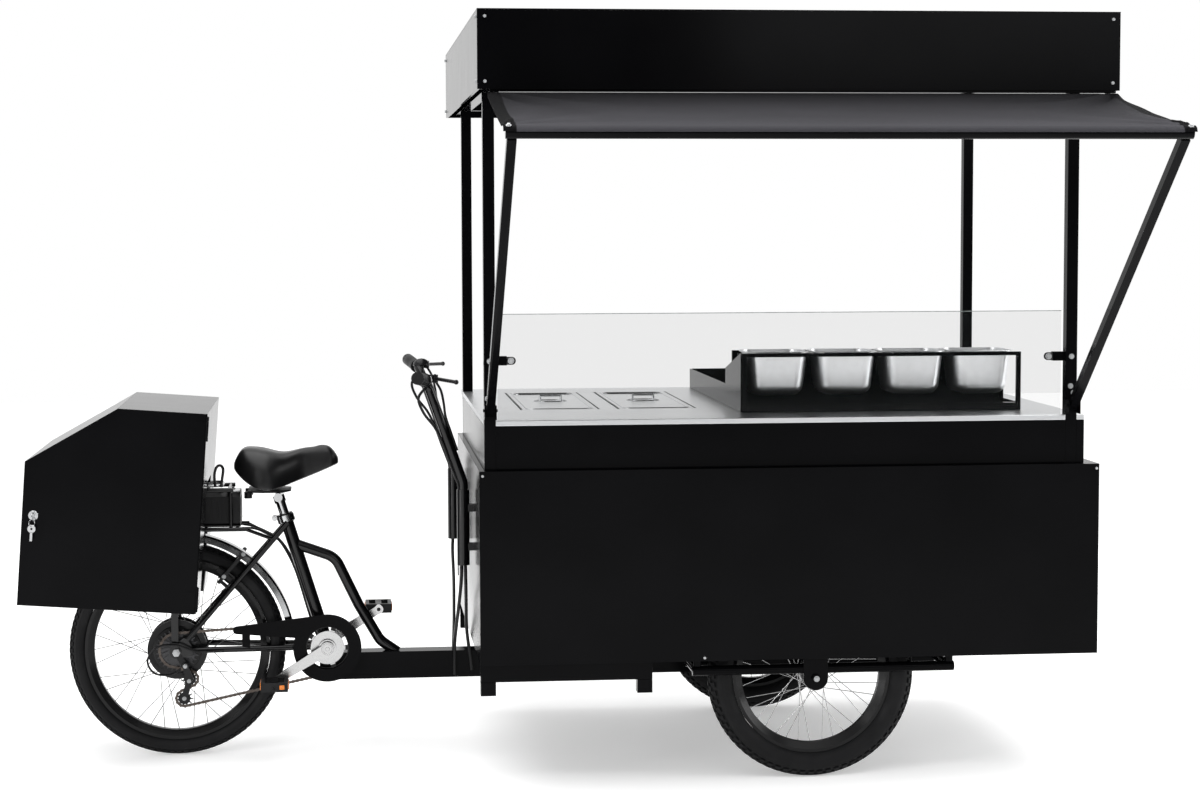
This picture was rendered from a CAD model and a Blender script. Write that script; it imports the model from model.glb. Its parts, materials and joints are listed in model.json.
# %% [markdown]
# # A pedal food cart, dressed in Blender
#
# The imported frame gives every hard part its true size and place. This lesson
# adds what a drawing of the parts cannot show: finishes, soft goods, cables,
# tread, bolts and light. Each cell makes one thing and prints what it made.

# %% Load the frame
import json
import math

import bmesh
import bpy
from mathutils import Matrix, Vector, noise


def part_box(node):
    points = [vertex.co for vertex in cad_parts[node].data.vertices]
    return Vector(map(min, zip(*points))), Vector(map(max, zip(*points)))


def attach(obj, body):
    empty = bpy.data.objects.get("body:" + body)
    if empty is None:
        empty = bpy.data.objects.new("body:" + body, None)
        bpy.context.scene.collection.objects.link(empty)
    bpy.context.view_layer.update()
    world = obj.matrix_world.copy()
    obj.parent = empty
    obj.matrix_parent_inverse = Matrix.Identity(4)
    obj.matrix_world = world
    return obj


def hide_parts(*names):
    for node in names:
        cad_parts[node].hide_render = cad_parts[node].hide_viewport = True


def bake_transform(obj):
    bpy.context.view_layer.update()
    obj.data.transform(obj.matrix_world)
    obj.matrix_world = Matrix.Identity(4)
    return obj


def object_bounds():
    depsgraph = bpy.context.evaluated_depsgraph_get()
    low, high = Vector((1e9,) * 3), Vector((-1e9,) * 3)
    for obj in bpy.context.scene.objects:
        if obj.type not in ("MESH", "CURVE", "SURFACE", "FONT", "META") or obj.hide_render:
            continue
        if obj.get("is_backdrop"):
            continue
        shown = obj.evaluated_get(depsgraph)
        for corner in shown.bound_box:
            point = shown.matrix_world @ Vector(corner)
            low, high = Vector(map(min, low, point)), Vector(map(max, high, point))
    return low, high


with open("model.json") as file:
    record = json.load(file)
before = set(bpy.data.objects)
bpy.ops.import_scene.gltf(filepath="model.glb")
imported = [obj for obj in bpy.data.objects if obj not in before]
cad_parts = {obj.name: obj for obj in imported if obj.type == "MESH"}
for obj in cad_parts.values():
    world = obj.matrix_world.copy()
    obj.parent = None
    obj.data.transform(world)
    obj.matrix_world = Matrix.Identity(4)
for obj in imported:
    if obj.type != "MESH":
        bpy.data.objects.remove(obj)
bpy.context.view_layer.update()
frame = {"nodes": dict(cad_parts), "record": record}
nodes = frame["nodes"]

# %% [markdown]
# ## Measuring
#
# The cart is drawn in millimetres: x from the rear axle to the front, y from
# the bicycle's middle to the rider's left, z from the ground. `at` turns such
# a point into the frame's metres. Outlines and small sizes are in metres.

# %% Points and directions
MIDDLE_X, MIDDLE_Y = 1029.0, -287.5
X, Y, Z = Vector((1, 0, 0)), Vector((0, 1, 0)), Vector((0, 0, 1))
NEAR, BACK = -Y, -X
SIDES = {"right": -1, "left": 1}


def at(x, y, z):
    """A point of the drawing, in metres of the frame."""
    return Vector((x - MIDDLE_X, y - MIDDLE_Y, z)) / 1000


def facing(where, out):
    """A matrix that stands a piece's Z along `out` at `where`."""
    return Matrix.Translation(where) @ out.to_track_quat("Z", "Y").to_matrix().to_4x4()


REAR_AXLE, CRANK_AXLE = at(0, 0, 300), at(416, 0, 300)
FRONT_AXLES = {name: at(1706, side * 475, 279) for name, side in SIDES.items()}
print("front axles at", [[round(v, 3) for v in axle] for axle in FRONT_AXLES.values()])

# %% [markdown]
# ## Camera
#
# The camera stands about seven metres off at standing height, turned a little
# to the front of the cart and tipped a little down.

# %% Camera
yaw, pitch, roll = 0.1042, 0.0728, -0.0027
EYE, LENS, SENSOR, FARTHEST = at(457.3, -7012.0, 1497.9), 74.86, 36.0, 60
forward = Vector((math.sin(yaw) * math.cos(pitch), math.cos(yaw) * math.cos(pitch),
                  -math.sin(pitch)))
right = forward.cross(Z).normalized()
up = right.cross(forward)
right, up = (right * math.cos(roll) + up * math.sin(roll),
             up * math.cos(roll) - right * math.sin(roll))
turned = Matrix((right, up, -forward)).transposed().to_4x4()
camera = bpy.data.objects.new("camera", bpy.data.cameras.new("camera"))
bpy.context.collection.objects.link(camera)
camera.matrix_world = Matrix.Translation(EYE) @ turned
camera.data.sensor_width = SENSOR
camera.data.lens = LENS
camera.data.clip_end = FARTHEST
bpy.context.scene.camera = camera
print("camera at", [round(v, 3) for v in camera.location])

# %% [markdown]
# ## Shaping tools
#
# Every piece starts as a bmesh. These helpers spin an outline into a round
# part, round off a block, stand a bolt on a face, run a tube along a line, and
# turn the result into an object on a body.

# %% Helpers
MERGE = 1e-6


def piece(name, bm, material, body, angle=35):
    """Turns a bmesh into an object that moves with a body."""
    bmesh.ops.recalc_face_normals(bm, faces=bm.faces)
    mesh = bpy.data.meshes.new(name)
    bm.to_mesh(mesh)
    bm.free()
    mesh.materials.append(material)
    mesh.shade_smooth()
    mesh.set_sharp_from_angle(angle=math.radians(angle))
    obj = bpy.data.objects.new(name, mesh)
    bpy.context.collection.objects.link(obj)
    if body:
        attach(obj, body)
    return obj


def lathe(bm, outline, centre, axis, steps=32, closed=False):
    """Spins (along the axis, radius) points round an axis."""
    side = axis.orthogonal().normalized()
    verts = [bm.verts.new(centre + axis * a + side * r) for a, r in outline]
    ends = verts[1:] + verts[:1] if closed else verts[1:]
    edges = [bm.edges.new(pair) for pair in zip(verts, ends)]
    bmesh.ops.spin(bm, geom=verts + edges, cent=centre, axis=axis, angle=math.tau,
                   steps=steps, use_merge=True)
    bmesh.ops.remove_doubles(bm, verts=bm.verts, dist=MERGE)


def round_edges(bm, edges, radius, segments):
    """Rounds edges off."""
    bmesh.ops.bevel(bm, geom=edges, offset=radius, offset_type="OFFSET", segments=segments,
                    profile=0.5, affect="EDGES", material=-1)


def block(bm, low, high, bevel=0.001, segments=2, turn=None):
    """A box between two corners with rounded edges."""
    place = Matrix.Translation((low + high) / 2) @ Matrix.Diagonal((*(high - low), 1))
    made = bmesh.ops.create_cube(bm, size=1, matrix=(turn @ place) if turn else place)
    edges = list({e for v in made["verts"] for e in v.link_edges})
    round_edges(bm, edges, bevel, segments)


def hex_bolt(bm, where, out, radius=0.006, washer=True):
    """A hex head, on a washer or without, standing on a face."""
    if washer:
        wide, top, thick = radius * 1.45, radius * 1.4, radius * 0.22
        lathe(bm, [(0, 0), (0, wide), (thick, top), (thick, 0)], where, out, 24)
    rise = radius * 0.5
    bmesh.ops.create_cone(bm, cap_ends=True, segments=6, radius1=radius,
                          radius2=radius * 0.92, depth=rise * 2,
                          matrix=facing(where + out * rise, out))


def flow(points, per=12):
    """A smooth line through points, the same way the drawing runs its cables."""
    out = []
    for k in range(len(points) - 1):
        a, b = points[max(k - 1, 0)], points[k]
        c, d = points[k + 1], points[min(k + 2, len(points) - 1)]
        for i in range(per):
            t = i / per
            out.append(0.5 * (2 * b + (c - a) * t + (2 * a - 5 * b + 4 * c - d) * t * t
                              + (3 * b - a - 3 * c + d) * t ** 3))
    return out + [points[-1]]


def tube(name, points, radius, material, body, sides=4):
    """A round tube along a line, as a mesh."""
    curve = bpy.data.curves.new(name, "CURVE")
    curve.dimensions = "3D"
    curve.bevel_depth = radius
    curve.bevel_resolution = sides
    curve.use_fill_caps = True
    spline = curve.splines.new("POLY")
    spline.points.add(len(points) - 1)
    for point, p in zip(spline.points, points):
        point.co = (*p, 1)
    source = bpy.data.objects.new(name + "_line", curve)
    bpy.context.collection.objects.link(source)
    bpy.context.view_layer.update()
    shown = source.evaluated_get(bpy.context.evaluated_depsgraph_get())
    mesh = bpy.data.meshes.new_from_object(shown)
    bpy.data.objects.remove(source)
    bm = bmesh.new()
    bm.from_mesh(mesh)
    bmesh.ops.remove_doubles(bm, verts=bm.verts, dist=MERGE)
    return piece(name, bm, material, body, 50)


print("helpers ready")

# %% [markdown]
# ## Finishes
#
# A finish is a Principled shader whose roughness, colour and relief come from
# noise in object space, so the grain keeps its real size on every part.

# %% Shader tools
def finish(name, colour, rough, metal=0.0, spec=0.5, **more):
    """A material with its shader's constant values, and its object coordinates."""
    mat = bpy.data.materials.new(name)
    mat.use_nodes = True
    tree = mat.node_tree
    shader = tree.nodes["Principled BSDF"]
    values = {"Base Color": (*colour, 1), "Roughness": rough, "Metallic": metal,
              "Specular IOR Level": spec, **more}
    for socket, value in values.items():
        shader.inputs[socket].default_value = value
    coord = tree.nodes.new("ShaderNodeTexCoord").outputs["Object"]
    return mat, tree, shader, coord


def grain(tree, coord, scale, stretch=(1, 1, 1), detail=3.0, kind="ShaderNodeTexNoise"):
    """A stretched noise (or another texture) and its first value."""
    mapping = tree.nodes.new("ShaderNodeMapping")
    mapping.inputs["Scale"].default_value = stretch
    tree.links.new(coord, mapping.inputs["Vector"])
    tex = tree.nodes.new(kind)
    tex.inputs["Scale"].default_value = scale
    if "Detail" in tex.inputs:
        tex.inputs["Detail"].default_value = detail
    tree.links.new(mapping.outputs["Vector"], tex.inputs["Vector"])
    return tex.outputs[0]


def between(tree, value, low, high, start=0.35, end=0.65):
    """Maps a value that runs from start to end onto a range of low to high."""
    node = tree.nodes.new("ShaderNodeMapRange")
    limits = {"From Min": start, "From Max": end, "To Min": low, "To Max": high}
    for socket, number in limits.items():
        node.inputs[socket].default_value = number
    tree.links.new(value, node.inputs["Value"])
    return node.outputs["Result"]


def blend_colour(tree, value, first, second):
    """Runs from one colour to another along a value of 0 to 1."""
    node = tree.nodes.new("ShaderNodeMix")
    node.data_type = "RGBA"
    sockets = [s for s in node.inputs if s.type == "RGBA"]
    sockets[0].default_value, sockets[1].default_value = (*first, 1), (*second, 1)
    tree.links.new(value, node.inputs["Factor"])
    return [s for s in node.outputs if s.type == "RGBA"][0]


def relief(tree, shader, height, depth, strength=1.0):
    """Raises the surface by a height map, in metres."""
    node = tree.nodes.new("ShaderNodeBump")
    node.inputs["Strength"].default_value = strength
    node.inputs["Distance"].default_value = depth
    tree.links.new(height, node.inputs["Height"])
    tree.links.new(node.outputs["Normal"], shader.inputs["Normal"])


def total(tree, first, second, operation="ADD"):
    """Two values in one sum, product or maximum."""
    node = tree.nodes.new("ShaderNodeMath")
    node.operation = operation
    tree.links.new(first, node.inputs[0])
    tree.links.new(second, node.inputs[1])
    return node.outputs[0]


print("shader tools ready")

# %% [markdown]
# ### Paint
#
# Powder paint has a slight orange peel and dust that lifts its roughness in
# patches. Panels are satin, tubes glossier.

# %% Paints
def paint(name, colour, rough, spec, peel):
    """Sprayed paint, with a peel of a given depth in metres."""
    mat, tree, shader, coord = finish(name, colour, rough[0], 0.0, spec)
    dust = between(tree, grain(tree, coord, 4.0, detail=5), 0, 1)
    lifted = tuple(c * 1.3 + 0.0002 for c in colour)
    tree.links.new(blend_colour(tree, dust, colour, lifted), shader.inputs["Base Color"])
    patches = between(tree, grain(tree, coord, 9.0, detail=4), *rough)
    tree.links.new(patches, shader.inputs["Roughness"])
    relief(tree, shader, grain(tree, coord, 420.0, detail=2), peel, 0.5)
    return mat


mats = {
    "black_paint": paint("satin_black_paint", (0.0018, 0.0018, 0.0021), (0.14, 0.15), 0.04, 2e-6),
    "tube_black": paint("gloss_black_paint", (0.002, 0.002, 0.0023), (0.12, 0.2), 0.3, 4e-6),
    "motor_black": paint("motor_black_enamel", (0.005, 0.005, 0.0055), (0.24, 0.36), 0.2, 6e-5),
}
print("paints:", list(mats))

# %% [markdown]
# ### Metals
#
# Brushed sheet has noise pulled out along the brushing. Polished and cast
# parts only vary softly.

# %% Metals
def metal(name, colour, rough, stretch=(1, 1, 1), scale=30.0, depth=3e-5):
    """Bare metal: lines along the brushing, with smudges over them."""
    mat, tree, shader, coord = finish(name, colour, rough[0], 1.0)
    lines = grain(tree, coord, scale, stretch, 5.0)
    smudge = grain(tree, coord, 6.0, detail=4)
    handled = between(tree, total(tree, lines, smudge, "MULTIPLY"), *rough, 0.15, 0.4)
    tree.links.new(handled, shader.inputs["Roughness"])
    darker = tuple(c * 0.92 for c in colour)
    streaks = blend_colour(tree, between(tree, lines, 0, 1), darker, colour)
    tree.links.new(streaks, shader.inputs["Base Color"])
    relief(tree, shader, lines, depth, 0.4)
    return mat


BRUSHED_ALONG_X = (0.02, 1, 1)
mats |= {
    "stainless": metal("brushed_stainless", (0.66, 0.67, 0.68), (0.28, 0.33),
                       BRUSHED_ALONG_X, 900.0, 1e-6),
    "polished": metal("polished_chrome", (0.42, 0.425, 0.43), (0.07, 0.16),
                      scale=12.0, depth=2e-6),
    "cast_alloy": metal("satin_alloy", (0.55, 0.56, 0.57), (0.24, 0.4), scale=160.0),
    "dark_steel": metal("oiled_steel", (0.05, 0.05, 0.052), (0.28, 0.5), scale=240.0),
    "pan_steel": metal("drawn_pan_steel", (0.72, 0.73, 0.74), (0.34, 0.4),
                       scale=45.0, depth=5e-7),
    "chain_steel": metal("worn_chain_steel", (0.085, 0.072, 0.064), (0.3, 0.5), scale=200.0),
    "guard_steel": metal("mudguard_steel", (0.42, 0.425, 0.43), (0.12, 0.24),
                         scale=40.0, depth=4e-6),
}
print("metals:", len(mats), "finishes so far")

# %% [markdown]
# ### Rubber, plastic and vinyl
#
# Moulded finishes carry their own relief: pebbled vinyl, stippled grips, and a
# fine grain on rubber and plastic. Wear lightens them in patches.

# %% Moulded finishes
PEBBLES = "ShaderNodeTexVoronoi"


def moulded(name, colour, rough, scale, depth, spec=0.4, kind="ShaderNodeTexNoise"):
    """A worn moulding with a grain of a given scale and depth."""
    mat, tree, shader, coord = finish(name, colour, rough[0], 0.0, spec)
    worn = between(tree, grain(tree, coord, 7.0, detail=5), 0, 1)
    lighter = tuple(c * 1.5 + 0.001 for c in colour)
    tree.links.new(blend_colour(tree, worn, colour, lighter), shader.inputs["Base Color"])
    tree.links.new(between(tree, grain(tree, coord, 22.0), *rough), shader.inputs["Roughness"])
    relief(tree, shader, grain(tree, coord, scale, kind=kind), depth)
    return mat


SOFT_BLACK, CABLE_BLACK = (0.0038, 0.0038, 0.0042), (0.003, 0.003, 0.0033)
mats |= {
    "tyre_rubber": moulded("tyre_rubber", SOFT_BLACK, (0.5, 0.68), 260.0, 2e-4, 0.16),
    "grip_rubber": moulded("grip_rubber", CABLE_BLACK, (0.45, 0.6), 320.0, 2e-4, 0.18, PEBBLES),
    "cable_black": moulded("cable_sheath", CABLE_BLACK, (0.26, 0.36), 500.0, 5e-5, 0.2),
    "black_plastic": moulded("moulded_plastic", SOFT_BLACK, (0.34, 0.46), 800.0, 6e-5, 0.2),
    "saddle_vinyl": moulded("saddle_vinyl", (0.0028, 0.0028, 0.003), (0.3, 0.38), 420.0,
                            1.2e-4, 0.3, PEBBLES),
    "zinc": moulded("zinc_plate", (0.27, 0.275, 0.28), (0.2, 0.32), 300.0, 2e-5, 0.6),
}
print("moulded finishes:", len(mats), "finishes so far")

# %% [markdown]
# ### Awning cloth
#
# A plain weave is two crossed waves. The cloth is bleached towards its front
# and dark at its side hems. It bends as the awning folds, so the pattern lies
# on its own flat map, in metres, and not on the place it hangs in.

# %% Woven finish
CLOTH_WIDE, CLOTH_LONG, SIDE_HEM = 1586, 616, 29
STITCH = 0.002


def woven(name, colour, threads, size, hem):
    """A plain weave on the flat cloth of a given size."""
    mat, tree, shader, _ = finish(name, colour, 0.7, 0.0, 0.02)
    shader.inputs["Sheen Weight"].default_value = 0.01
    shader.inputs["Sheen Roughness"].default_value = 0.5
    flat = tree.nodes.new("ShaderNodeUVMap")
    flat.uv_map = "flat_cloth"
    metres = tree.nodes.new("ShaderNodeMapping")
    metres.inputs["Scale"].default_value = (*size, 1)
    tree.links.new(flat.outputs["UV"], metres.inputs["Vector"])
    coord = metres.outputs["Vector"]
    waves = []
    for axis in ("X", "Y"):
        wave = tree.nodes.new("ShaderNodeTexWave")
        wave.bands_direction = axis
        wave.inputs["Scale"].default_value = threads
        wave.inputs["Distortion"].default_value = 0.6
        tree.links.new(coord, wave.inputs["Vector"])
        waves.append(wave.outputs[1])
    weave = total(tree, waves[0], waves[1])
    relief(tree, shader, weave, 4e-4, 0.7)
    split = tree.nodes.new("ShaderNodeSeparateXYZ")
    tree.links.new(coord, split.inputs[0])
    bleached = between(tree, split.outputs["Y"], 0.1, 1.0, 0, size[1])
    blotches = between(tree, grain(tree, coord, 3.0, (0.5, 1, 1), 6), 0.85, 1.0)
    faded = total(tree, bleached, blotches, "MULTIPLY")
    wide = size[0]
    for stitched, inside in ((hem, hem + STITCH), (wide - hem, wide - hem - STITCH)):
        cloth = between(tree, split.outputs["X"], 0.0, 1.0, stitched, inside)
        faded = total(tree, faded, cloth, "MULTIPLY")
    dark, light = tuple(c * 0.14 for c in colour), tuple(c * 1.65 for c in colour)
    tree.links.new(blend_colour(tree, faded, dark, light), shader.inputs["Base Color"])
    tree.links.new(between(tree, weave, 0.55, 0.75, 0, 2), shader.inputs["Roughness"])
    return mat


mats["awning_fabric"] = woven("awning_cloth", (0.03, 0.0295, 0.033), 190.0,
                              (CLOTH_WIDE / 1000, CLOTH_LONG / 1000), SIDE_HEM / 1000)
print("awning cloth of", CLOTH_WIDE, "by", CLOTH_LONG, "mm")

# %% [markdown]
# ### Glass and reflectors
#
# Clear sheet glass is nearly all see-through, so it's a thin, faintly wavy
# mirror. Its ground edge is frosted. A reflector is a field of small prisms.

# %% Glass and reflectors
mat, tree, shader, coord = finish("clear_glass", (0.02, 0.023, 0.023), 0.02, 0.0, 0.35, Alpha=0.09)
smears = between(tree, grain(tree, coord, 5.0, detail=5), 0.01, 0.06)
tree.links.new(smears, shader.inputs["Roughness"])
relief(tree, shader, grain(tree, coord, 3.0), 2e-4, 0.2)
mats["clear_glass"] = mat

mat, tree, shader, coord = finish("orange_reflector", (0.8, 0.28, 0.015), 0.2, 0.0, 0.6)
prism = grain(tree, coord, 260.0, kind=PEBBLES)
facets = between(tree, prism, 0, 1, 0, 0.8)
tree.links.new(blend_colour(tree, facets, (0.9, 0.38, 0.03), (0.62, 0.16, 0.01)),
               shader.inputs["Base Color"])
relief(tree, shader, prism, 8e-4)
mats["reflector"] = mat

mat, tree, shader, coord = finish("ground_glass_edge", (0.16, 0.19, 0.185), 0.25)
frost = grain(tree, coord, 60.0, detail=4)
cloudy = between(tree, frost, 0, 1)
tree.links.new(blend_colour(tree, cloudy, (0.11, 0.135, 0.13), (0.22, 0.25, 0.245)),
               shader.inputs["Base Color"])
tree.links.new(between(tree, frost, 0.15, 0.35), shader.inputs["Roughness"])
mats["glass_edge"] = mat
print("glass and reflector made")

# %% [markdown]
# ### Two finishes on one node
#
# A wheel is one node, with silver spokes and a black rim. The distance from
# its axle tells the shader which is which.

# %% Two-tone finishes
TONE_EDGE = 0.0004


def two_tone(name, axle, radius, silver, reach=1.0):
    """Silver within a radius of an axle, black beyond it and within `reach` of its plane."""
    mat, tree, shader, coord = finish(name, (silver,) * 3, 0.25, 1.0, 0.2)
    offset = tree.nodes.new("ShaderNodeVectorMath")
    offset.operation = "SUBTRACT"
    offset.inputs[1].default_value = axle
    tree.links.new(coord, offset.inputs[0])
    split = tree.nodes.new("ShaderNodeSeparateXYZ")
    tree.links.new(offset.outputs[0], split.inputs[0])
    squares = {}
    for socket in ("X", "Y", "Z"):
        value = split.outputs[socket]
        squares[socket] = total(tree, value, value, "MULTIPLY")
    flat = total(tree, squares["X"], squares["Z"])
    beyond = between(tree, flat, 0, 1, (radius - TONE_EDGE) ** 2, radius ** 2)
    beside = between(tree, squares["Y"], 1, 0, (reach - TONE_EDGE) ** 2, reach ** 2)
    black = total(tree, beyond, beside, "MULTIPLY")
    lines = grain(tree, coord, 180.0, detail=4)
    tree.links.new(blend_colour(tree, black, (silver,) * 3, (0.0025, 0.0025, 0.0028)),
                   shader.inputs["Base Color"])
    tree.links.new(between(tree, black, 1, 0, 0, 1), shader.inputs["Metallic"])
    tree.links.new(between(tree, lines, 0.2, 0.24), shader.inputs["Roughness"])
    relief(tree, shader, lines, 1e-6, 0.4)
    return mat


own_finish = {
    "rear_wheel": two_tone("rear_spokes_and_rim", REAR_AXLE, 0.2285, 0.17),
    "crankset": two_tone("crank_and_ring", CRANK_AXLE, 0.05, 0.42, 0.059),
    "rear_axle": mats["zinc"],
    "rear_mudguard": mats["guard_steel"],
}
for name, axle in FRONT_AXLES.items():
    own_finish[f"front_wheel_{name}"] = two_tone(f"{name}_spokes_and_rim", axle, 0.1855, 0.5)
for node in ("main_beam", "cart_underframe", "wheel_cages", "canopy_frame", "awning_frame"):
    own_finish[node] = mats["black_paint"]
print("own finishes:", list(own_finish))

# %% [markdown]
# ## Dressing the frame
#
# Each node takes the finish of its slot in the record. Folded sheet gets a
# small live bevel, because a real fold is never knife sharp. The counter's lip
# is rolled, so it gets a wider one.

# %% Node finishes
FOLDED = ("serving_panel", "roof_fascia", "counter_skirt", "rear_box_door", "rear_box_shell",
          "canopy_frame", "awning_frame", "counter_top", "cart_underframe", "battery_pack",
          "topping_rack")
LIP_ROUND, FOLD_ROUND = (0.005, 4), (0.0009, 2)
for part in frame["record"]["subparts"]:
    obj = nodes[part["node"]]
    obj.data.materials.clear()
    obj.data.materials.append(own_finish.get(part["node"], mats[part["material_slot"]]))
for name in FOLDED:
    weld = nodes[name].modifiers.new("weld", "WELD")
    weld.merge_threshold = 2e-5
    fold = nodes[name].modifiers.new("fold", "BEVEL")
    fold.width, fold.segments = LIP_ROUND if name == "counter_top" else FOLD_ROUND
    fold.limit_method = "ANGLE"
    fold.angle_limit = math.radians(40)
print("finishes on", len(nodes), "nodes")

# %% [markdown]
# ## Cables
#
# The cables follow the same points as the drawing. The steering cables leave
# the bar sockets and reach down to the beam, so they bend between the cart and
# the bicycle; the frame cables stay on the bicycle.

# %% Cords
STEERING_ROUTES = [
    [(782, -285, 559.6), (781, -284, 520), (778, -215, 450), (774, -130, 370),
     (772, -60, 310), (772, -39.2, 262), (772, -36.3, 214)],
    [(792, -285, 559.6), (793, -280, 515), (798, -190, 440), (803, -100, 366),
     (809, -56, 316), (816, -39, 266), (820, -36.3, 226)],
    [(784, 285, 559.6), (783, 284, 520), (782, 200, 450), (778, 110, 370),
     (774, 46, 320), (772, 20, 300), (772, 16, 282.4)],
]
SEAT_ROUTE = [(184, 40, 640), (215, 24, 636), (250, 12, 622), (280, 12, 604), (304, 24, 572),
              (326, 30, 526), (344, 26, 470), (364, 25, 400), (384, 25, 340), (397.2, 25, 312)]
FRAME_ROUTES = [
    [(x, -y, z) for x, y, z in SEAT_ROUTE],
    SEAT_ROUTE,
    [(130, -68.8, 300), (60, -86, 302), (0, -100, 324), (-52, -100, 318), (-78, -98, 282),
     (-60, -94, 246), (-16, -90, 240), (12, -86, 256)],
]
STEERING_R, FRAME_R = 0.0048, 0.003


def cord(name, route, radius, body, node=None):
    """A cable along a route of the drawing, declared with its length."""
    line = flow([at(*p) for p in route])
    obj = tube(name, line, radius, mats["cable_black"], body)
    if node:
        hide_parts(node)
    return obj


for i, route in enumerate(STEERING_ROUTES):
    obj = cord(f"steering_cable_{i + 1}", route, STEERING_R, None, "steering_cables")
    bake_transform(obj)
for i, route in enumerate(FRAME_ROUTES):
    cord(f"frame_cable_{i + 1}", route, FRAME_R, "bicycle_frame", "frame_cables")

# %% [markdown]
# ## Chain
#
# The derailleur's cage swings and takes the chain's lower run with it. The
# links are one mesh that follows the frame above and the cage below.

# %% Chain links
bm = bmesh.new()
bm.from_mesh(nodes["chain"].data)
bmesh.ops.remove_doubles(bm, verts=bm.verts, dist=MERGE)
chain = piece("chain_links", bm, mats["chain_steel"], None)
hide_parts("chain")
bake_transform(chain)
print("chain:", len(chain.data.polygons), "faces")

# %% [markdown]
# ## Tyres
#
# A tyre is an open round section spun about its axle. The tread is recessed
# and carries rows of blocks, every other row half a step on. Two thin ribs run
# round each side wall.

# %% Tyres
TREAD_DEPTH, TREAD_EDGE = 0.0035, 62
RIB, RIB_SPANS = 0.0007, ((75, 80), (98, 103))
INSET, TYRE_WALL, BEAD_GAP = 0.0008, 0.006, 0.0004
BLOCK_SEAT, BLOCK_RISE, BLOCK_ROUND = 0.0034, 0.003, 0.0007
SECTION_STEPS, HOOP_STEPS = 40, 96


def tyre(name, node, body, centre, radius, width, rim, steps, rows):
    """A tyre with rows of (lean, width, length, shift) tread blocks."""
    bm = bmesh.new()
    hoop, full = radius - width / 2, width / 2
    inside, seat = full - TYRE_WALL, full - BLOCK_SEAT
    reach = math.acos((rim + BEAD_GAP - hoop) / full) - 0.002
    outer, inner = [], []
    for k in range(SECTION_STEPS + 1):
        turn = -reach + 2 * reach * k / SECTION_STEPS
        lean = abs(math.degrees(turn))
        depth = TREAD_DEPTH if abs(turn) < math.radians(TREAD_EDGE) else 0.0
        rib = RIB if any(first < lean < last for first, last in RIB_SPANS) else 0.0
        size = full - INSET - depth + rib
        outer.append((size * math.sin(turn), hoop + size * math.cos(turn)))
        inner.append((inside * math.sin(turn),
                      max(hoop + inside * math.cos(turn), rim + BEAD_GAP)))
    lathe(bm, outer + inner[::-1], centre, Y, HOOP_STEPS, closed=True)
    for lean, wide, long, shift in rows:
        side = math.radians(lean)
        half = Vector((long / 2, wide / 2, BLOCK_RISE))
        for k in range(steps):
            spin = math.tau * (k + shift) / steps
            radial = X * math.cos(spin) + Z * math.sin(spin)
            tangent = X * math.sin(spin) - Z * math.cos(spin)
            out = radial * math.cos(side) + Y * math.sin(side)
            along = Y * math.cos(side) - radial * math.sin(side)
            middle = centre + radial * (hoop + seat * math.cos(side)) + Y * seat * math.sin(side)
            stood = Matrix((tangent, along, out)).transposed().to_4x4()
            block(bm, -half, half, BLOCK_ROUND, 1, Matrix.Translation(middle) @ stood)
    obj = piece(name, bm, mats["tyre_rubber"], body, 30)
    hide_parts(node)
    print(name, len(obj.data.polygons), "faces")


REAR_TREAD = [(0, 0.008, 0.013, 0), (24, 0.007, 0.012, 0.5), (-24, 0.007, 0.012, 0.5),
              (47, 0.007, 0.011, 0), (-47, 0.007, 0.011, 0)]
FRONT_TREAD = [(0, 0.011, 0.016, 0), (22, 0.01, 0.015, 0.5), (-22, 0.01, 0.015, 0.5),
               (44, 0.011, 0.014, 0), (-44, 0.011, 0.014, 0)]
tyre("rear_tyre_tread", "rear_tyre", "rear_wheel_body", REAR_AXLE,
     0.3, 0.05, 0.256, 96, REAR_TREAD)
for name, axle in FRONT_AXLES.items():
    tyre(f"front_tyre_{name}_tread", f"front_tyre_{name}", f"front_wheel_{name}_body", axle,
         0.279, 0.072, 0.213, 72, FRONT_TREAD)

# %% [markdown]
# ## Saddle
#
# A vinyl skin over foam. The saddle's closed form is subdivided smooth, and
# the vinyl's pebble grain does the rest.

# %% Saddle
bm = bmesh.new()
bm.from_mesh(nodes["saddle_cover"].data)
bmesh.ops.remove_doubles(bm, verts=bm.verts, dist=2e-5)
bmesh.ops.join_triangles(bm, faces=bm.faces, angle_face_threshold=1.0, angle_shape_threshold=1.2)
saddle = piece("saddle_skin", bm, mats["saddle_vinyl"], "saddle", 180)
smooth = saddle.modifiers.new("smooth", "SUBSURF")
smooth.levels = smooth.render_levels = 2
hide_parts("saddle_cover")
print("saddle:", len(saddle.data.polygons), "faces before subdivision")

# %% [markdown]
# ## Awning
#
# One sheet of cloth from the rail under the fascia to the front bar, pulled
# tight and sagging a little between, with soft folds that fan out of its four
# fixings. Its front edge wraps the bar and is hemmed. A flat grid is bent into
# this shape point by point, and the grid's own map stays flat for the weave.

# %% Awning
RAIL, BAR, BAR_TOP = Vector((-866.0, 1805.2)), Vector((-1450.0, 1688.0)), Vector((-1450.0, 1703.6))
BAR_R, SAG, WRAP, WRAP_DEGREES = 15.6, 6.0, 0.03, 84
LAST, LINE_STEPS, CLOTH_X0 = 1.03, 400, 823.5
FOLD, FOLD_REACH, FOLD_START, FOLDS = 11.0, 0.15, 0.03, 11
CORNERS = (0.0, 0.6)


def awning_line(v):
    """The sheet's side view: 0 at the rail, 1 over the bar, then round it."""
    if v <= 1:
        return RAIL.lerp(BAR_TOP, v) - Vector((0, 4 * SAG * v * (1 - v)))
    swing = math.radians(90 + (v - 1) / WRAP * WRAP_DEGREES)
    return BAR + BAR_R * Vector((math.cos(swing), math.sin(swing)))


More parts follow.
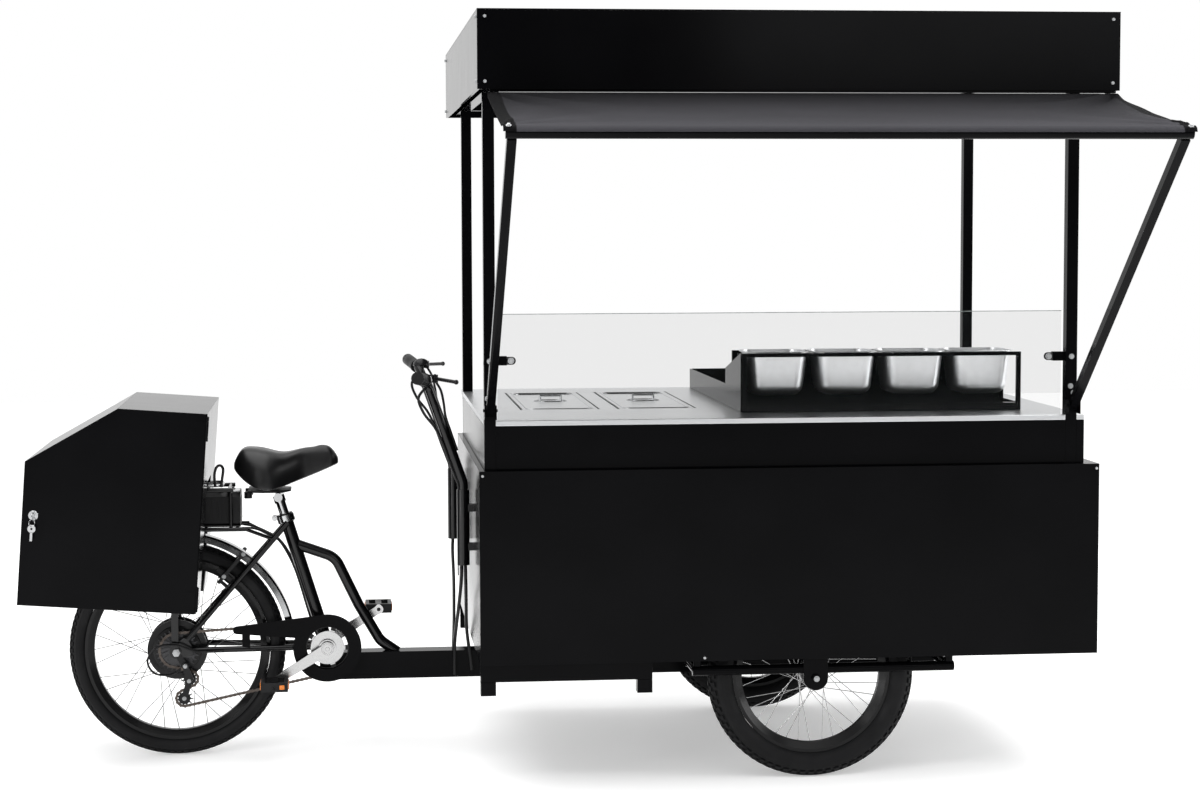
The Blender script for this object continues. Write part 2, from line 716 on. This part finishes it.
def corner_folds(across, along):
    """The height of the folds that fan out of the fixings, in millimetres."""
    height = 0.0
    for corner in CORNERS:
        reach = math.hypot(across, along - corner)
        fan = math.atan2(abs(along - corner), across + 0.001)
        fade = math.exp(-reach / FOLD_REACH) * min(1.0, reach / FOLD_START)
        height += FOLD * fade * math.sin(fan * FOLDS)
    return height


bm = bmesh.new()
bm.loops.layers.uv.new("flat_cloth")
bmesh.ops.create_grid(bm, x_segments=200, y_segments=80, size=0.5, calc_uvs=True)
for vert in bm.verts:
    u, v = vert.co.x + 0.5, (vert.co.y + 0.5) * LAST
    side = awning_line(v)
    slack = 4 * max(0.0, v * (1 - v))
    ripple = (noise.noise(Vector((u * 26, v * 1.6, 3.0))) * 1.4
              + noise.noise(Vector((u * 7, v * 5, 8.0))) * 1.8)
    edge = 1.5 * math.exp(-min(u, 1 - u) / 0.02) * slack
    across, along = min(u, 1 - u) * CLOTH_WIDE / 1000, min(v, 1.0) * CORNERS[1]
    folds = corner_folds(across, along) * min(1.0, slack * 3)
    hem = 0.9 if across < 0.03 or 0.94 < v < 0.99 else 0.0
    lift = hem + folds + (ripple - edge) * slack
    vert.co = at(CLOTH_X0 + u * CLOTH_WIDE, side.x, side.y + lift)
awning = piece("awning_sheet", bm, mats["awning_fabric"], None, 60)
thick = awning.modifiers.new("cloth", "SOLIDIFY")
thick.thickness = 0.0014
thick.offset = 0
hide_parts("awning_cloth")
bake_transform(awning)

# %% [markdown]
# ## Topping pans
#
# A drawn steel pan: a block without its lid, narrowed to its foot, its edges
# rounded, and its rim turned out and down.

# %% Pans
PAN_CORNER, PAN_FOOT, PAN_TAPER = 0.032, 0.026, 0.86
PAN_RIM = ((0.0056, 0.0), (0.0012, 0.0012), (0.0002, 0.0022))
RIM_ROOM, PAN_SHEET = Vector((0.014, 0.014, 0.001)), 0.001


def pan(index):
    """A pan in the place of its node, on its own body."""
    name = f"topping_pan_{index}"
    low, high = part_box(name)
    middle, body = (low + high) / 2, high - low - RIM_ROOM
    bm = bmesh.new()
    stretched = Matrix.Translation(middle) @ Matrix.Diagonal((*body, 1))
    bmesh.ops.create_cube(bm, size=1, matrix=stretched)
    bm.normal_update()
    lid = [f for f in bm.faces if f.normal.z > 0.9]
    bmesh.ops.delete(bm, geom=lid, context="FACES_ONLY")
    for vert in bm.verts:
        if vert.co.z < middle.z:
            vert.co.x = middle.x + (vert.co.x - middle.x) * PAN_TAPER
            vert.co.y = middle.y + (vert.co.y - middle.y) * PAN_TAPER
    upright = [e for e in bm.edges if abs(e.verts[0].co.z - e.verts[1].co.z) > 0.05]
    round_edges(bm, upright, PAN_CORNER, 8)
    foot = [e for e in bm.edges
            if max(v.co.z for v in e.verts) < low.z + 0.003 and len(e.link_faces) == 2]
    round_edges(bm, foot, PAN_FOOT, 7)
    straight = Vector((body.x / 2 - PAN_CORNER, body.y / 2 - PAN_CORNER))
    for spread, drop in PAN_RIM:
        lip = [e for e in bm.edges if e.is_boundary]
        made = bmesh.ops.extrude_edge_only(bm, edges=lip)["geom"]
        for vert in (g for g in made if isinstance(g, bmesh.types.BMVert)):
            arm = (vert.co - middle).to_2d()
            past = [math.copysign(max(0.0, abs(a) - b), a) for a, b in zip(arm, straight)]
            out = Vector(past).normalized() * spread
            vert.co += Vector((out.x, out.y, -drop))
    obj = piece(name + "_drawn", bm, mats["pan_steel"], f"pan_{index}_body", 50)
    sheet = obj.modifiers.new("sheet", "SOLIDIFY")
    sheet.thickness = PAN_SHEET
    sheet.offset = -1
    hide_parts(name)


for index in range(1, 5):
    pan(index)
print("four pans drawn")

# %% [markdown]
# ## Plate behind the pans
#
# A folded rack is closed at its back by a thin painted plate, which keeps the
# food off the work surface. It's one flat block.

# %% Rack plate
low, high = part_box("topping_rack")
plate_low = Vector((low.x + 0.007, at(0, -202.7, 0).y, low.z + 0.0035))
plate_high = Vector((high.x - 0.003, at(0, -201, 0).y, high.z - 0.002))
bm = bmesh.new()
block(bm, plate_low, plate_high, 0.0005, 1)
piece("rack_back_plate", bm, mats["black_paint"], "cart_body")
print("plate behind the pans:", round(plate_high.x - plate_low.x, 3), "m wide")

# %% [markdown]
# ## Well lids
#
# The lids are pressed sheet. A bead runs round each one a thumb's width from
# its edge, an oval dish frames the pull, and a slot marks the grip. Thin dark
# seals close the long sides. Tubes sunk part way into the sheet make the beads.

# %% Lid beads
LID_TOP = at(0, 0, 974).z
BEAD_SINK, GRIP_SINK, SEAL = 0.0006, 0.0004, 0.004
BEAD_INSET, DISH_HALF = Vector((0.018, 0.018, 0)), Vector((0.046, 0.034, 0))


def loop(low, high, radius, z, steps=8):
    """The points of a rounded rectangle, closed."""
    left, right, front, back = low.x + radius, high.x - radius, low.y + radius, high.y - radius
    out = []
    for k, (cx, cy) in enumerate(((right, back), (left, back), (left, front), (right, front))):
        for i in range(steps + 1):
            turn = math.radians(90 * (k + i / steps))
            out.append(Vector((cx + radius * math.cos(turn), cy + radius * math.sin(turn), z)))
    return out + out[:1]


for place in ("rear", "front"):
    body = f"well_lid_{place}_body"
    low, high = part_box(f"well_lid_{place}")
    bead = loop(low + BEAD_INSET, high - BEAD_INSET, 0.022, LID_TOP - BEAD_SINK)
    tube(f"lid_bead_{place}", bead, 0.0024, mats["stainless"], body)
    middle = (low + high) / 2
    dish = loop(middle - DISH_HALF, middle + DISH_HALF, 0.0335, LID_TOP - BEAD_SINK)
    tube(f"lid_dish_{place}", dish, 0.002, mats["polished"], body)
    slot_low = Vector((low.x + 0.022, high.y - 0.062, 0))
    slot_high = Vector((high.x - 0.022, high.y - 0.03, 0))
    grip = loop(slot_low, slot_high, 0.0155, LID_TOP - GRIP_SINK)
    tube(f"lid_grip_{place}", grip, 0.0026, mats["polished"], body)
    bm = bmesh.new()
    for x in (low.x, high.x - SEAL):
        block(bm, Vector((x, low.y + SEAL, LID_TOP - 0.0004)),
              Vector((x + SEAL, high.y - SEAL, LID_TOP + 0.0009)), 0.0004)
    piece(f"lid_seal_{place}", bm, mats["black_plastic"], body)
print("beads on two lids")

# %% [markdown]
# ## Lock and keys
#
# A cam lock is a turned barrel with a bright collar, and a cam behind the
# door. One key stands in it edge on. A wire ring through its bow carries the
# spare, which hangs with its flat side out. Barrel, bows and ring are spun.

# %% Lock and keys
LOCK, BOX_UP = at(-353.36, -320, 716.15), Vector((0.073238, 0, 0.997314))
BOX_ALONG = BOX_UP.cross(NEAR)
door_face = Matrix.Translation(LOCK) @ Matrix((BOX_ALONG, BOX_UP, NEAR)).transposed().to_4x4()
BOW = [(-0.0012, 0.003), (-0.0012, 0.0102), (-0.0007, 0.0107),
       (0.0007, 0.0107), (0.0012, 0.0102), (0.0012, 0.003)]
BARREL = [(-0.009, 0), (-0.009, 0.009), (0.0006, 0.009), (0.0006, 0.013), (0.0024, 0.013),
          (0.003, 0.0124), (0.003, 0.0085), (0.004, 0.008), (0.004, 0)]
CAM, BLADE = ((-6, -24, -11), (6, 6, -8.5)), ((-1.2, -5, 3.5), (1.2, 5, 18))
SPARE_BLADE = ((-3.4, -66, 22.8), (3.4, -42, 25.2))
RING_R, WIRE_R, WIRE_SIDES = 0.0095, 0.0011, 8
bm = bmesh.new()
lathe(bm, BARREL, LOCK, NEAR, 40)
for low, high in (CAM, BLADE, SPARE_BLADE):
    block(bm, Vector(low) / 1000, Vector(high) / 1000, 0.0004, 1, door_face)
lathe(bm, BOW, door_face @ Vector((0, 0, 0.026)), BOX_ALONG, 32, closed=True)
lathe(bm, BOW, door_face @ Vector((0, -0.033, 0.024)), NEAR, 32, closed=True)
turns = [math.tau * k / WIRE_SIDES for k in range(WIRE_SIDES)]
wire = [(WIRE_R * math.sin(turn), RING_R + WIRE_R * math.cos(turn)) for turn in turns]
lathe(bm, wire, door_face @ Vector((0, -0.0175, 0.0245)), (BOX_ALONG - Y).normalized(), 40,
      closed=True)
lock = piece("lock_and_keys", bm, mats["polished"], "box_lock_body")
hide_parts("box_lock")
print("lock with two keys:", len(lock.data.polygons), "faces")

# %% [markdown]
# ## Bolts and screws
#
# Small bright fasteners sit where sheets and tubes meet. Each group is one
# piece on the body that carries it.

# %% Fasteners
FASCIA_ROWS = (1832, 1990)
RAIL_OUT, TIP_OUT = Vector((0, -0.17, 0.985)), Vector((0, -0.42, 0.9075))
bm = bmesh.new()
for x, side in ((829, 1), (2404, -1)):
    for inset, z in ((15, 1128.6), (17, 1050), (9, 1032)):
        hex_bolt(bm, at(x + side * inset, -569.1, z), NEAR, 0.005)
for x in (818, 2393):
    for z in FASCIA_ROWS:
        hex_bolt(bm, at(x, -882.1, z), NEAR, 0.0045, washer=False)
for y in (-862, 868):
    for z in FASCIA_ROWS:
        hex_bolt(bm, at(798.9, y, z), BACK, 0.0045, washer=False)
        hex_bolt(bm, at(2412.1, y, z), X, 0.0045, washer=False)
for x in (846, 2386):
    hex_bolt(bm, at(x, -862, 1806.6), RAIL_OUT, 0.005)
for x, z in ((822, 833), (1402, 347), (2451, 833)):
    hex_bolt(bm, at(x, -600.1, z), NEAR, 0.004, washer=False)
for side in SIDES.values():
    hex_bolt(bm, at(1706, side * 571.1, 279), Y * side, 0.0055)
piece("cart_bolts", bm, mats["zinc"], "cart_body", 30)

bm = bmesh.new()
for x in (836, 2397):
    hex_bolt(bm, at(x, BAR.x, BAR.y) + TIP_OUT * 0.0172, TIP_OUT, 0.0045)
piece("awning_bolts", bm, mats["zinc"], "awning_body", 30)

SCREWS = {
    "brake_arm_right_body": ((132, -55.2, 506), (186, -55.2, 567.5)),
    "brake_arm_left_body": ((132, 55.2, 506), (186, 55.2, 567.5)),
    "bicycle_frame": ((24, -88.2, 262), (34, -87.2, 220)),
    "derailleur_cage_body": ((18, -53.1, 165),),
}
for body, spots in SCREWS.items():
    bm = bmesh.new()
    for x, y, z in spots:
        hex_bolt(bm, at(x, y, z), math.copysign(1, y) * Y, 0.0042)
    name = body.replace("_body", "") + "_screws"
    piece(name, bm, mats["zinc"], body, 30)
print("fasteners on the cart, awning, brakes and derailleur")

# %% [markdown]
# ## Glass holders
#
# A short tab on each post grips the shield between a round pad and a bolt. The
# sheet's upper edge is ground, so it shows as a pale line.

# %% Glass tabs
PAD = [(0, 0), (0, 0.0105), (0.0034, 0.0105), (0.0042, 0.0098), (0.0042, 0)]
TAB_FRONT, TAB_BACK, TAB_Z, TAB_LONG = -550.5, -546.3, 1128.5, 44
bm, bolts = bmesh.new(), bmesh.new()
for x, side in ((859, 1), (2374, -1)):
    low, high = sorted((x + side * 0.5, x + side * TAB_LONG))
    block(bm, at(low, TAB_FRONT, TAB_Z - 10.5), at(high, TAB_BACK, TAB_Z + 10.5), 0.0012)
    lathe(bm, PAD, at(x + side * TAB_LONG, TAB_BACK, TAB_Z), NEAR, 32)
    hex_bolt(bolts, at(x + side * 42, TAB_FRONT, TAB_Z), NEAR, 0.006)
piece("glass_tabs", bm, mats["tube_black"], "cart_body")
piece("glass_tab_bolts", bolts, mats["zinc"], "cart_body", 30)

low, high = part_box("glass_shield")
proud, edge = Vector((0, 0.0002, 0)), 0.0016
bm = bmesh.new()
block(bm, Vector((low.x, low.y, high.z - edge)) - proud, high + proud, 0.0005, 2)
piece("glass_edge", bm, mats["glass_edge"], "cart_body")
print("two glass tabs and the glass's ground edge")

# %% [markdown]
# ## Pedals and crank
#
# Each pedal carries two reflectors along its sides and a small one on its end.
# The crank has a plain pressed cover over its ring's bolts, and a dust cap.

# %% Pedal reflectors and crank covers
PEDALS = {"pedal_right": (270.28, -125, 212.44), "pedal_left": (561.72, 125, 387.56)}
for name, (x, y, z) in PEDALS.items():
    bm = bmesh.new()
    for middle in (x - 37, x + 37):
        block(bm, at(middle - 2.6, y - 30, z - 9), at(middle + 2.6, y + 30, z + 9), 0.0015, 3)
    outer = y + math.copysign(46, y)
    block(bm, at(x + 14, outer - 1.5, z - 6), at(x + 28, outer + 1.5, z + 6), 0.0012, 3)
    piece(name + "_reflectors", bm, mats["reflector"], name + "_body")

COVER = [(0, 0.0242), (0, 0.0464), (0.0006, 0.0468), (0.0012, 0.0462), (0.0012, 0.0242)]
DUST_CAP = [(0, 0), (0, 0.0168), (0.0012, 0.016), (0.0012, 0.013), (0.0006, 0.0124),
            (0.0006, 0.006), (0.0022, 0.0052), (0.0022, 0)]
low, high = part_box("crankset")
bm = bmesh.new()
lathe(bm, COVER, at(416, -49.95, 300), NEAR, 64, closed=True)
lathe(bm, DUST_CAP, Vector((CRANK_AXLE.x, low.y, CRANK_AXLE.z)), NEAR, 40)
piece("crank_covers", bm, own_finish["crankset"], "crank_body")
print("reflectors on two pedals, and the crank's covers")

# %% [markdown]
# ## Battery, rack and seat clamp
#
# The battery's case has grip ribs on its sides and a bright cap. A wire hoop
# and a spring clip stand on the rack. A band with a bolt and nut closes the
# seat tube round its post.

# %% Battery
bm = bmesh.new()
for wall in (-60, 60):
    for x in range(100, 184, 14):
        block(bm, at(x, wall - 0.6, 662), at(x + 6, wall + 0.6, 722), 0.0005, 1)
block(bm, at(180, -40, 660), at(181.6, 40, 724), 0.0007, 2)
piece("battery_ribs", bm, mats["black_plastic"], "battery")
bm = bmesh.new()
block(bm, at(118, -47, 741.7), at(178, 47, 743.4), 0.0007, 2)
piece("battery_cap", bm, mats["polished"], "battery")
print("battery ribs and cap")

# %% Rack wires and seat clamp
HOOP = ((60, -56), (112, -56), (128, -44), (132, 0), (128, 44), (112, 56), (60, 56))
CLIP = ((112, 757), (110, 790), (116, 812), (127, 817), (134, 806), (131, 780), (128, 757))
hoop = flow([at(x, y, 760) for x, y in HOOP], 8)
tube("rack_hoop", hoop, 0.004, mats["polished"], "bicycle_frame")
clip = flow([at(x, -60, z) for x, z in CLIP], 8)
tube("rack_clip", clip, 0.0038, mats["tube_black"], "bicycle_frame")

BAND = [(-0.024, 0.0222), (-0.024, 0.0242), (-0.0232, 0.025),
        (-0.004, 0.025), (-0.0032, 0.0242), (-0.0032, 0.0222)]
lean, neck = Vector((-0.2974, 0, 0.9548)), at(299.4, 0, 674.3)
bm = bmesh.new()
lathe(bm, BAND, neck, lean, 48, closed=True)
for side in SIDES.values():
    hex_bolt(bm, neck - lean * 0.0137 - X * 0.031 + Y * side * 0.0072, Y * side, 0.0055)
piece("seat_clamp_band", bm, mats["polished"], "bicycle_frame", 40)
print("rack hoop, clip and seat clamp")

# %% [markdown]
# ## Handlebar
#
# A domed bell stands on the right bar. On each side one cable leaves the grip
# and one the brake lever, and both run down the tube to its socket.

# %% Handlebar trim
BELL = [(0, 0), (0, 0.021), (0.003, 0.0225), (0.009, 0.021), (0.015, 0.016), (0.019, 0.009),
        (0.0205, 0)]
BELL_STEM = [(0, 0), (0, 0.0045), (0.0265, 0.0045), (0.0265, 0)]
BAR_ROUTE = [(690, 300, 1046), (668, 304, 1016), (682, 296, 975), (712, 289, 935),
             (734, 286, 890), (752, 285, 840), (767, 285, 800), (774, 285, 781), (776, 285, 764)]
LEVER_ROUTE = [(716, 338, 1058), (728, 322, 1036), (736, 300, 1000), (741, 291, 965),
               (755, 287, 922), (772, 286, 872)]
bm = bmesh.new()
lathe(bm, BELL, at(676, -322, 1104), Z, 40)
lathe(bm, BELL_STEM, at(678, -322, 1079), Z, 20)
piece("bell", bm, mats["motor_black"], "cart_body", 40)
for name, side in SIDES.items():
    for kind, route, radius in (("bar", BAR_ROUTE, 0.0038), ("lever", LEVER_ROUTE, 0.0034)):
        mirrored = [(x, side * y, z) for x, y, z in route]
        cord(f"{kind}_cable_{name}", mirrored, radius, "cart_body")
print("bell and bar cables")

# %% [markdown]
# ## Light
#
# A white studio: an even white surround behind the cart, bright above and at
# both ends, and dark towards the viewer, so that black paint stays black from
# the front and shines at its edges.

# %% World and floor
world = bpy.data.worlds.new("studio")
bpy.context.scene.world = world
world.use_nodes = True
wt = world.node_tree
background = wt.nodes["Background"]
direction = wt.nodes.new("ShaderNodeTexCoord").outputs["Generated"]
parts = wt.nodes.new("ShaderNodeSeparateXYZ")
wt.links.new(direction, parts.inputs[0])
toward = between(wt, parts.outputs["Y"], 0.06, 1.0, -0.75, -0.25)
above = between(wt, parts.outputs["Z"], 0.0, 1.0, 0.25, 0.8)
lit = total(wt, toward, above, "MAXIMUM")
ray = wt.nodes.new("ShaderNodeLightPath").outputs["Is Camera Ray"]
wt.links.new(total(wt, lit, ray, "MAXIMUM"), background.inputs["Strength"])
background.inputs["Color"].default_value = (1, 1, 1, 1)

GLOW = {"Emission Color": (1, 1, 1, 1), "Emission Strength": 0.34}
bm = bmesh.new()
bmesh.ops.create_grid(bm, x_segments=8, y_segments=8, size=14)
floor_mat, tree, shader, coord = finish("studio_floor", (0.85, 0.85, 0.85), 0.9, 0.0, 0.1, **GLOW)
tree.links.new(between(tree, grain(tree, coord, 2.0), 0.85, 0.95), shader.inputs["Roughness"])
floor = piece("floor", bm, floor_mat, None)
floor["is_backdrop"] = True
print("white surround and floor")

# %% [markdown]
# ### Lamps
#
# A wide lamp overhead carries the light. A fill and a small glow lift the near
# side and the fascia, a strip draws highlights down the bicycle's tubes, and a
# lamp beyond the cart's front lights that end.

# %% Lamps
def lamp(name, where, target, size, power):
    """A rectangular lamp that looks at a target."""
    data = bpy.data.lights.new(name, "AREA")
    data.shape = "RECTANGLE"
    data.size, data.size_y = size
    data.energy = power
    obj = bpy.data.objects.new(name, data)
    bpy.context.collection.objects.link(obj)
    obj.matrix_world = facing(where, where - target)


lamp("overhead", Vector((0.2, -0.5, 5.5)), Vector((0.2, 0, 0)), (8, 7), 420)
lamp("front_fill", Vector((-3.5, -6.5, 3.2)), Vector((0.3, 0, 0.9)), (2.2, 2.2), 60)
lamp("fascia_glow", Vector((2.6, -7.5, 3.0)), Vector((0.6, -0.6, 1.9)), (2.4, 1.6), 34)
lamp("left_strip", Vector((-5.5, -4.5, 2.0)), Vector((-0.6, 0, 0.8)), (0.5, 4), 150)
lamp("right_end", Vector((5.5, -1.5, 2.2)), Vector((0.8, 0, 1.0)), (2.5, 3), 120)
scene = bpy.context.scene
scene.view_settings.view_transform = "Standard"
scene.view_settings.look = "None"
scene.view_settings.exposure = 0.0
print("studio lit by", len(bpy.data.lights), "lamps")

# %% [markdown]
# ## Sizes
#
# The dressed cart should fill the same box as the bare frame, so both boxes
# are kept side by side before the scene is closed.

# %% Sizes and finish
low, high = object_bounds()
print("visual box", [round(v, 3) for v in low], [round(v, 3) for v in high])
